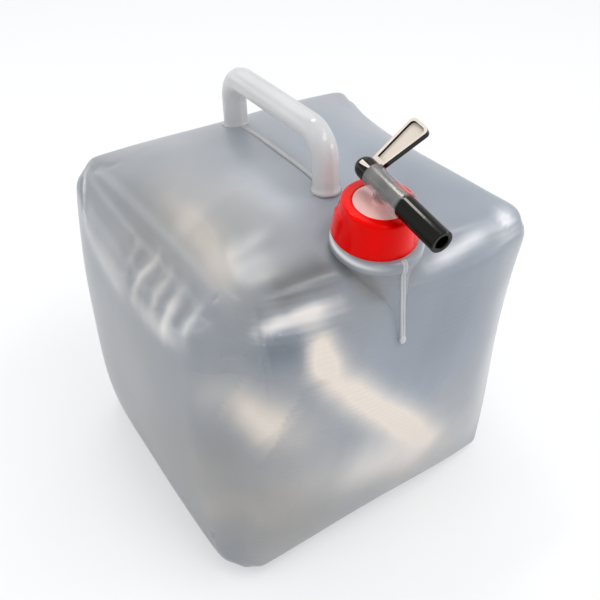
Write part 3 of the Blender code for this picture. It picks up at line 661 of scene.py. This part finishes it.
def folded(mesh, skin_map):
    """The film's points with each fold raised or sunk along the skin's own normals."""
    points = read_points(mesh)
    normals = np.zeros(len(mesh.vertices) * 3, np.float32)
    mesh.vertices.foreach_get("normal", normals)
    normals = normals.reshape(-1, 3).astype(float)
    lift = np.zeros(len(points))
    for path, width, height, sharp in FOLDS:
        chosen, away, share = along(points, skin_map.line(path), FOLD_REACH * width)
        square = (away / width) ** 2
        crest = np.exp(CREST_LIFT - np.sqrt(square + CREST_ROUND)) if sharp else np.exp(-square)
        lift[chosen] += height * crest * eased(np.minimum(share, 1 - share) / FOLD_END_SHARE)
    points = points + normals * lift[:, None]
    points[:, 2] = np.maximum(points[:, 2], 0)
    return points


def keep_values(mesh, name, values):
    kind = "FLOAT_VECTOR" if values.ndim > 1 else "FLOAT"
    place = mesh.attributes.new(name, kind, "POINT")
    place.data.foreach_set("vector" if values.ndim > 1 else "value", values.astype(np.float32).ravel())


def film_paint_and_flow(mesh, skin_map):
    """The film's painted light and shade with its milkiness, kept at its points, with the rest places
    that its flow lines follow.
    """
    points = read_points(mesh)
    milk_and_painted_light = np.zeros(len(points))
    warmth_and_painted_light = np.zeros(len(points))
    for path, width, lighter, warmer in PAINTED_LIGHT_STROKES:
        chosen, away, share = along(points, skin_map.line(path), PAINT_REACH * width)
        ends = eased(np.minimum(share, 1 - share) / FOLD_END_SHARE)
        cover = np.exp(-((away / width) ** 2)) * (PAINT_END_SHARE + (1 - PAINT_END_SHARE) * ends)
        milk_and_painted_light[chosen] += lighter * cover
        warmth_and_painted_light[chosen] += warmer * cover
    x, y, z = (np.array(collar_frame().inverted()) @ np.c_[points, np.ones(len(points))].T)[:3]
    out = np.hypot(x, y)
    beside = np.abs(x) / np.maximum(out, NECK_CORE)
    # Painted highlight along the collar's rounded rim, on its sides
    off_rim = np.hypot(out - COLLAR_RADIUS, z + COLLAR_ROUND / 2)
    rim = np.exp(-((off_rim / COLLAR_PAINTED_HIGHLIGHT_WIDTH) ** 2))
    milk_and_painted_light += COLLAR_PAINTED_HIGHLIGHT * rim * beside * beside
    # Painted shade under the collar on the shoulder, darker and warmer
    inward = np.clip((COLLAR_RADIUS - out) / SHOULDER_FADE_IN, 0, 1)
    below = inward * np.clip(-z / SHOULDER_FADE_DOWN - 1, 0, 1)
    milk_and_painted_light -= SHOULDER_PAINTED_SHADE * below
    warmth_and_painted_light += SHOULDER_SHADE_WARMTH * below
    front = np.clip((-points[:, 1] - FLOW_START) / FLOW_FADE, 0, 1)
    keep_values(mesh, "milk_and_painted_light", milk_and_painted_light)
    keep_values(mesh, "warmth_and_painted_light", warmth_and_painted_light)
    keep_values(mesh, "flow", front)
    keep_values(mesh, "rest_place", points)


def read_points(mesh):
    points = np.zeros(len(mesh.vertices) * 3, np.float32)
    mesh.vertices.foreach_get("co", points)
    return points.reshape(-1, 3).astype(float)


def write_points(mesh, points):
    mesh.vertices.foreach_set("co", points.astype(np.float32).ravel())
    mesh.update()


def mesh_of(name, solid):
    bmesh.ops.recalc_face_normals(solid, faces=solid.faces[:])
    mesh = bpy.data.meshes.new(name)
    solid.to_mesh(mesh)
    solid.free()
    return mesh


def add(name, mesh, finish=None):
    item = bpy.data.objects.new(name, mesh)
    bpy.context.scene.collection.objects.link(item)
    if finish:
        mesh.materials.clear()
        mesh.materials.append(finish)
        mesh.shade_smooth()
    else:
        item.hide_render = True
        item.hide_viewport = True
    return item


def neck_frame():
    place = Vector((0, NECK_INSET - SIDE / 2, CORNER_HEIGHT + NECK_RISE))
    return Matrix.Translation(place) @ Matrix.Rotation(NECK_TILT, 4, "X")


def collar_frame():
    return neck_frame() @ Matrix.Translation((0, -COLLAR_FORWARD, 0))


def arc(centre, radius, start, end, steps):
    """Points of a circular arc, angles in degrees."""
    angles = [math.radians(start + (end - start) * k / steps) for k in range(steps + 1)]
    return [
        (centre[0] + radius * math.cos(a), centre[1] + radius * math.sin(a)) for a in angles
    ]


def lathe(name, profile, segments, shape=None):
    """A closed solid of revolution about Z from (radius, height) rows.

    A profile that starts and ends on the axis closes there, and any other closes on itself.
    `shape` moves the grid of points, given as arrays of radius, angle and height.
    """
    capped = profile[0][0] == 0
    rows = profile[1:-1] if capped else profile
    radius = np.array([[r] * segments for r, _ in rows])
    height = np.array([[h] * segments for _, h in rows])
    angle = np.array([[2 * math.pi * k / segments for k in range(segments)]] * len(rows))
    if shape:
        radius, height = shape(radius, angle, height)
    solid = bmesh.new()
    grid = [
        [solid.verts.new((r * math.cos(a), r * math.sin(a), h)) for r, a, h in zip(*row)]
        for row in zip(radius, angle, height)
    ]
    turns = len(rows) - 1 if capped else len(rows)
    for k in range(turns):
        upper, lower = grid[k], grid[(k + 1) % len(rows)]
        for i in range(segments):
            j = (i + 1) % segments
            solid.faces.new((upper[i], upper[j], lower[j], lower[i]))
    if capped:
        for line, height_at in ((grid[0], profile[0][1]), (grid[-1], profile[-1][1])):
            tip = solid.verts.new((0, 0, height_at))
            for i in range(segments):
                solid.faces.new((line[i], line[(i + 1) % segments], tip))
    return mesh_of(name, solid)


def combine(target, tool, operation):
    step = target.modifiers.new(operation.lower() + "_" + tool.name, "BOOLEAN")
    step.operation = operation
    step.solver = "MANIFOLD"
    step.object = tool


def apply_modifiers(item):
    """Make the item's modifiers part of its mesh."""
    graph = bpy.context.evaluated_depsgraph_get()
    mesh = bpy.data.meshes.new_from_object(item.evaluated_get(graph))
    item.modifiers.clear()
    item.data = mesh


def shoulder():
    """The pouring shoulder: from a round under the tilted collar down to a pointed prow."""
    top_radius = COLLAR_RADIUS - SHOULDER_STEP
    tilt = collar_frame() @ Matrix.Translation((0, 0, -COLLAR_ROUND))
    foot = Vector((0, NECK_INSET - SIDE / 2, PROW_FOOT_HEIGHT))
    solid = bmesh.new()
    rows = []
    for k in range(PROW_ROWS + 1):
        row = []
        for i in range(ROUND_SEGMENTS):
            angle = 2 * math.pi * i / ROUND_SEGMENTS
            across, ahead = math.cos(angle), -math.sin(angle)
            prow = PROW_REACH * ahead**PROW_POWER if ahead > 0 else PROW_HALF_WIDTH * ahead
            below = foot + Vector((PROW_HALF_WIDTH * across, -prow, 0))
            level = Vector((top_radius * across, -top_radius * ahead, 0))
            row.append(solid.verts.new(below.lerp(tilt @ level, k / PROW_ROWS)))
        rows.append(row)
    for lower, upper in zip(rows, rows[1:]):
        for i in range(ROUND_SEGMENTS):
            j = (i + 1) % ROUND_SEGMENTS
            solid.faces.new((lower[i], lower[j], upper[j], upper[i]))
    solid.faces.new(rows[0])
    solid.faces.new(rows[-1])
    bmesh.ops.triangulate(solid, faces=solid.faces[:])
    return mesh_of("shoulder", solid)


def sweep(name, points, sections):
    """A tube along points: one ring of (across, out) offsets at each, in the path's own frame.

    The path lies in the plane X = 0, so across is X and out is square to the path in the plane.
    """
    solid = bmesh.new()
    rings = []
    for k, (point, section) in enumerate(zip(points, sections)):
        ahead = Vector(points[min(k + 1, len(points) - 1)]) - Vector(points[max(k - 1, 0)])
        ahead.normalize()
        out = Vector((0, -ahead.z, ahead.y))
        rings.append(
            [solid.verts.new(Vector(point) + Vector((a, 0, 0)) + out * b) for a, b in section]
        )
    for first, second in zip(rings, rings[1:]):
        count = len(first)
        for i in range(count):
            j = (i + 1) % count
            solid.faces.new((first[i], first[j], second[j], second[i]))
    solid.faces.new(rings[0])
    solid.faces.new(rings[-1])
    return mesh_of(name, solid)


def refine(solid, skin_map, least_width):
    """Cut the skin's faces in four near each fold that is no wider than asked."""
    places = np.array([face.calc_center_median() for face in solid.faces])
    marked = np.zeros(len(places), bool)
    for path, width, _, _ in FOLDS:
        if width <= least_width:
            chosen, away, _ = along(places, skin_map.line(path), FINE_REACH * width)
            marked[chosen[away < FINE_REACH * width]] = True
    solid.faces.ensure_lookup_table()
    edges = {edge for k in np.flatnonzero(marked) for edge in solid.faces[k].edges}
    bmesh.ops.subdivide_edges(solid, edges=list(edges), cuts=1, use_grid_fill=True)


def film(finish):
    """The film skin with collar and shoulder grown onto it."""
    solid = bmesh.new()
    bmesh.ops.create_cube(solid, size=2)
    bmesh.ops.subdivide_edges(
        solid, edges=solid.edges[:], cuts=FILM_ROWS - 1, use_grid_fill=True
    )
    plain = mesh_of("plain_skin", solid)
    unit = read_points(plain)
    write_points(plain, smoothed(film_places(unit), plain))
    skin_map = FilmMap(unit, read_points(plain))
    solid = bmesh.new()
    solid.from_mesh(plain)
    for least_width in (FINE_WIDTH, FINEST_WIDTH):
        refine(solid, skin_map, least_width)
    bmesh.ops.triangulate(solid, faces=[f for f in solid.faces if len(f.verts) > 4])
    mesh = mesh_of("film_skin", solid)
    write_points(mesh, folded(mesh, skin_map))
    skin = add("film_skin", mesh, finish)
    profile = [(0, 0)]
    profile += arc((COLLAR_RADIUS - COLLAR_ROUND, -COLLAR_ROUND), COLLAR_ROUND, 90, 0, ROUND_STEPS)
    profile += [(COLLAR_RADIUS, -COLLAR_DEPTH), (0, -COLLAR_DEPTH)]
    collar = add("collar", lathe("collar", profile, ROUND_SEGMENTS))
    collar.matrix_world = collar_frame()
    body = add("shoulder", shoulder())
    combine(skin, collar, "UNION")
    combine(skin, body, "UNION")
    bpy.context.view_layer.update()
    apply_modifiers(skin)
    skin.data.shade_smooth()
    skin.data.set_sharp_from_angle(angle=FILM_SHARP_ANGLE)
    film_paint_and_flow(skin.data, skin_map)
    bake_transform(skin)
    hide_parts("container_walls", "container_top")


def seam_points():
    """The front moulding seam: over the collar, down the shoulder's front, then the film's."""
    collar = collar_frame()
    bend = (COLLAR_ROUND - COLLAR_RADIUS, -COLLAR_ROUND)
    points = [collar @ Vector((0, y, z)) for y, z in arc(bend, COLLAR_ROUND, 90, 180, ROUND_STEPS)]
    lip = collar @ Vector((0, -COLLAR_RADIUS, -COLLAR_DEPTH))
    foot_y = NECK_INSET - SIDE / 2 - PROW_REACH
    wall = collar @ Vector((0, SHOULDER_STEP - COLLAR_RADIUS, -COLLAR_ROUND))
    points.append(lip)
    for k in range(1, SEAM_STEPS + 1):
        height = lip.z + (SEAM_END_HEIGHT - lip.z) * k / SEAM_STEPS
        share = (height - PROW_FOOT_HEIGHT) / (wall.z - PROW_FOOT_HEIGHT)
        on_shoulder = foot_y + (wall.y - foot_y) * share
        front = min(on_shoulder, film_front(min(height, CORNER_HEIGHT - TOP_EDGE_RADIUS)))
        points.append(Vector((0, front - SEAM_PROUD + SEAM_RADIUS / 2, height)))
    return points


def rod(name, points, radius, finish):
    """A thin round bead along points, with rounded ends."""
    path = bpy.data.curves.new(name, "CURVE")
    path.dimensions = "3D"
    path.bevel_depth = radius
    path.bevel_resolution = BEAD_RESOLUTION
    path.use_fill_caps = True
    line = path.splines.new("POLY")
    line.points.add(len(points) - 1)
    for place, point in zip(line.points, points):
        place.co = (*point, 1)
    curve = bpy.data.objects.new(name + "_path", path)
    bpy.context.scene.collection.objects.link(curve)
    bpy.context.view_layer.update()
    graph = bpy.context.evaluated_depsgraph_get()
    mesh = bpy.data.meshes.new_from_object(curve.evaluated_get(graph))
    bpy.data.objects.remove(curve)
    solid = bmesh.new()
    solid.from_mesh(mesh)
    bmesh.ops.remove_doubles(solid, verts=solid.verts[:], dist=radius / 50)
    return add(name, mesh_of(name, solid), finish)


def seams(finish):
    """The twin bead down the front with its blob, and the ridge between the handle's feet."""
    for label, side in (("left", -1), ("right", 1)):
        points = [p + Vector((side * SEAM_SPREAD, 0, 0)) for p in seam_points()]
        bead = rod("seam_" + label, points, SEAM_RADIUS, finish)
        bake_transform(bead)
    solid = bmesh.new()
    bmesh.ops.create_uvsphere(solid, u_segments=24, v_segments=16, radius=SEAM_BLOB_RADIUS)
    bmesh.ops.transform(solid, matrix=Matrix.Diagonal(SEAM_BLOB_STRETCH), verts=solid.verts[:])
    blob = add("seam_blob", mesh_of("seam_blob", solid), finish)
    blob.matrix_world = Matrix.Translation(seam_points()[-1])
    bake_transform(blob)

    half = RIDGE_WIDTH / 2
    foot = RIDGE_FOOT_SHARE * RIDGE_HEIGHT
    section = [(-3 * half, -half), (-half, foot), (-half / 2, RIDGE_HEIGHT)]
    section += [(half / 2, RIDGE_HEIGHT), (half, foot), (3 * half, -half)]
    points = []
    for k in range(RIDGE_STEPS + 1):
        y = HANDLE_BACK - (HANDLE_BACK + HANDLE_FRONT) * k / RIDGE_STEPS
        points.append((0, y, film_top(y)))
    ridge = add("ridge", sweep("ridge", points, [section] * len(points)), finish)
    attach(ridge, "top")


def handle_line():
    """Centre line of the handle: up from the back foot, along the bar, down at the front."""
    bend = (HANDLE_BACK - HANDLE_BEND, HANDLE_TOP - HANDLE_BEND)
    other = (HANDLE_BEND - HANDLE_FRONT, HANDLE_TOP - HANDLE_BEND)
    back_foot, front_foot = film_top(HANDLE_BACK), film_top(-HANDLE_FRONT)
    line = []
    for k in range(HANDLE_LEG_STEPS):
        line.append((HANDLE_BACK, back_foot + (bend[1] - back_foot) * k / HANDLE_LEG_STEPS))
    line += arc(bend, HANDLE_BEND, 0, 90, HANDLE_BEND_STEPS)
    for k in range(1, HANDLE_BAR_STEPS):
        line.append((bend[0] + (other[0] - bend[0]) * k / HANDLE_BAR_STEPS, HANDLE_TOP))
    line += arc(other, HANDLE_BEND, 90, 180, HANDLE_BEND_STEPS)
    for k in range(HANDLE_LEG_STEPS - 1, -1, -1):
        line.append((-HANDLE_FRONT, front_foot + (other[1] - front_foot) * k / HANDLE_LEG_STEPS))
    return [(0, y, z) for y, z in line]


def handle(finish):
    """The hollow handle, flared at its feet, with the mould's parting line along it."""
    points = handle_line()
    sections = []
    feet = (Vector(points[0]), Vector(points[-1]))
    for point in points:
        rise = min((Vector(point) - foot).length for foot in feet)
        flare = max(0.0, 1 - rise / FOOT_HEIGHT)
        radius = HANDLE_RADIUS + (FOOT_RADIUS - HANDLE_RADIUS) * flare**2
        ring = []
        for i in range(HANDLE_SIDES):
            angle = 2 * math.pi * i / HANDLE_SIDES
            line = math.exp(-((math.sin(angle) / HANDLE_LINE_WIDTH_SHARE) ** 2))
            reach = radius + HANDLE_LINE * line
            ring.append((reach * math.sin(angle), reach * math.cos(angle)))
        sections.append(ring)
    item = add("handle", sweep("handle", points, sections), finish)
    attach(item, "top")


def neck(finish):
    """The threaded neck under the ring."""
    low = -COLLAR_DEPTH / 2
    middle = (NECK_CORE + NECK_BORE) / 2
    outside = [
        (NECK_CORE, NECK_RIM - (NECK_RIM - low) * k / NECK_ROWS) for k in range(NECK_ROWS + 1)
    ]
    profile = outside + [(NECK_BORE, low), (NECK_BORE, NECK_RIM)]

    def threaded(radius, angle, height):
        turn = (height / THREAD_PITCH - angle / (2 * math.pi)) % 1
        crest = np.exp(-(((turn - 0.5) / THREAD_WIDTH_SHARE) ** 2))
        cut = (height > THREAD_START) & (height < NECK_RIM - THREAD_END) & (radius > middle)
        return radius + np.where(cut, THREAD_HEIGHT * crest, 0), height

    item = add("neck", lathe("neck", profile, ROUND_SEGMENTS, threaded), finish)
    item.matrix_world = neck_frame()
    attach(item, "top")


def ring(finish):
    """The screw ring: a flared skirt with a rounded rim and two soft-edged grips."""
    corner = (RING_TOP_RADIUS - RING_ROUND, RING_HEIGHT - RING_ROUND)
    outside = [(RING_HOLE, RING_HEIGHT)]
    outside += arc(corner, RING_ROUND, 90, 10, RING_ROUND_STEPS)
    start = outside[-1]
    for k in range(1, RING_ROWS + 1):
        share = k / RING_ROWS
        radius = start[0] + (RING_BASE_RADIUS - start[0]) * share
        outside.append((radius, start[1] * (1 - share)))
    seat = RING_HEIGHT - RING_WALL
    base = RING_BASE_RADIUS - RING_WALL
    inside = [(base, 0), (base - (RING_BASE_RADIUS - RING_TOP_RADIUS), seat), (RING_HOLE, seat)]

    def grips(radius, angle, height):
        turned = angle - LUG_TURN
        across = np.abs(radius * np.sin(turned))
        edge = eased((LUG_WIDTH / 2 + LUG_EDGE - across) / (2 * LUG_EDGE))
        fade = eased((LUG_HEIGHT + LUG_EDGE - height) / (2 * LUG_EDGE))
        lug = LUG_RADIUS - LUG_SLOPE * height / LUG_HEIGHT
        outer = radius > RING_TOP_RADIUS - RING_ROUND
        reach = np.where(outer & (height > 0), np.maximum(lug - radius, 0), 0)
        return radius + reach * edge * fade, height

    item = add("ring", lathe("ring", outside + inside, RING_SEGMENTS, grips), finish)
    item.data.set_sharp_from_angle(angle=RING_SHARP_ANGLE)
    item.matrix_world = neck_frame()
    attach(item, "ring")
    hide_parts("screw_ring")


def dress(node, finish):
    """A better finish on a solid that stays."""
    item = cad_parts[node]
    item.data.materials.clear()
    item.data.materials.append(finish)
    item.data.shade_smooth()
    item.data.set_sharp_from_angle(angle=TAP_SHARP_ANGLE)


def paint_lever_glare(node, finish):
    """Painted glare on the lever's broad front: its flat rim and the floor of its pocket take a cream
    colour that stands in for a warm lamp's reflection on the black plastic.
    """
    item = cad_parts[node]
    item.data.materials.append(finish)
    ahead = neck_frame() @ Vector((-math.sin(LEVER_ANGLE), 0, math.cos(LEVER_ANGLE)))
    outward = (ahead - neck_frame().translation).normalized()
    turn = item.matrix_world.to_3x3()
    for face in item.data.polygons:
        middle = item.matrix_world @ face.center
        facing = (turn @ face.normal).dot(outward) > FACING_LEAST
        if facing and middle.z > LEVER_FOOT_HEIGHT:
            face.material_index = 1


def tap_material():
    """Cloudy clear plastic of the tap's body; where its disc lies in the red ring it is painted rosy,
    standing in for the ring's red light coming through and a warm glare.
    """
    made, tree, shader = material("tap_plastic")
    place = tree.nodes.new("ShaderNodeTexCoord")
    up = (neck_frame().to_3x3() @ Vector((0, 0, 1))).normalized()
    rise = tree.nodes.new("ShaderNodeVectorMath")
    rise.operation = "DOT_PRODUCT"
    rise.inputs[1].default_value = up
    wire(tree, place, "Object", rise, 0)
    disc = up.dot(neck_frame().translation) + RING_HEIGHT
    share = tree.nodes.new("ShaderNodeMapRange")
    set_sockets(share, {"From Min": disc + TINT_START, "From Max": disc + TINT_END})
    wire(tree, rise, "Value", share, "Value")
    cloud = noise(tree, scale=60, detail=3)
    grey = ramp(tree, cloud, "Fac", ((0.3, (0.20, 0.195, 0.19)), (0.7, (0.36, 0.35, 0.34))))
    # Painted glow: the ring's red light through the disc and a warm glare, as a rosy base colour
    painted_ring_glow = ramp(tree, cloud, "Fac", ((0.3, (1.0, 0.50, 0.46)), (0.7, (1.0, 0.66, 0.62))))
    tint = tree.nodes.new("ShaderNodeMix")
    tint.data_type = "RGBA"
    wire(tree, share, 0, tint, 0)
    wire(tree, painted_ring_glow, 0, tint, 6)
    wire(tree, grey, 0, tint, 7)
    wire(tree, tint, 2, shader, "Base Color")
    set_sockets(shader, {"Roughness": 0.18, "Coat Weight": 0.9, "Coat Roughness": 0.14})
    cover = tree.nodes.new("ShaderNodeMapRange")
    set_sockets(cover, {"To Min": 0.92, "To Max": 0.38})
    wire(tree, share, 0, cover, "Value")
    wire(tree, cover, 0, shader, "Alpha")
    return made


film_finish = film_material(0.22)
thick_finish = thick_material("milky_handle", (0.62, 0.625, 0.635), (0.78, 0.775, 0.765), 0.34)
red = gloss_material("red_plastic", (0.86, 0.001, 0.001), 0.11, 0.4, (1, 0.12, 0.08), 0.04)
black = gloss_material("black_plastic", (0.002, 0.002, 0.001), 0.09, 0.2, WHITE, 0.03)
# Cream painted glare for the black lever's front faces
lever_glare = gloss_material("lever_painted_glare", (0.80, 0.70, 0.60), 0.3, 0.4)
rubber = gloss_material("seal_rubber", (0.02, 0.02, 0.02), 0.6, 0.3)
washer = gloss_material("washer_rubber", (0.7, 0.69, 0.65), 0.55, 0.3)

camera()
studio()
film(film_finish)
seams(thick_finish)
handle(thick_finish)
neck(thick_finish)
ring(red)
dress("tap_body", tap_material())
dress("plug", black)
paint_lever_glare("plug", lever_glare)
dress("nozzle", black)
dress("gasket", washer)
dress("o_ring_back", rubber)
dress("o_ring_front", rubber)

bpy.context.scene.view_settings.view_transform = "Standard"
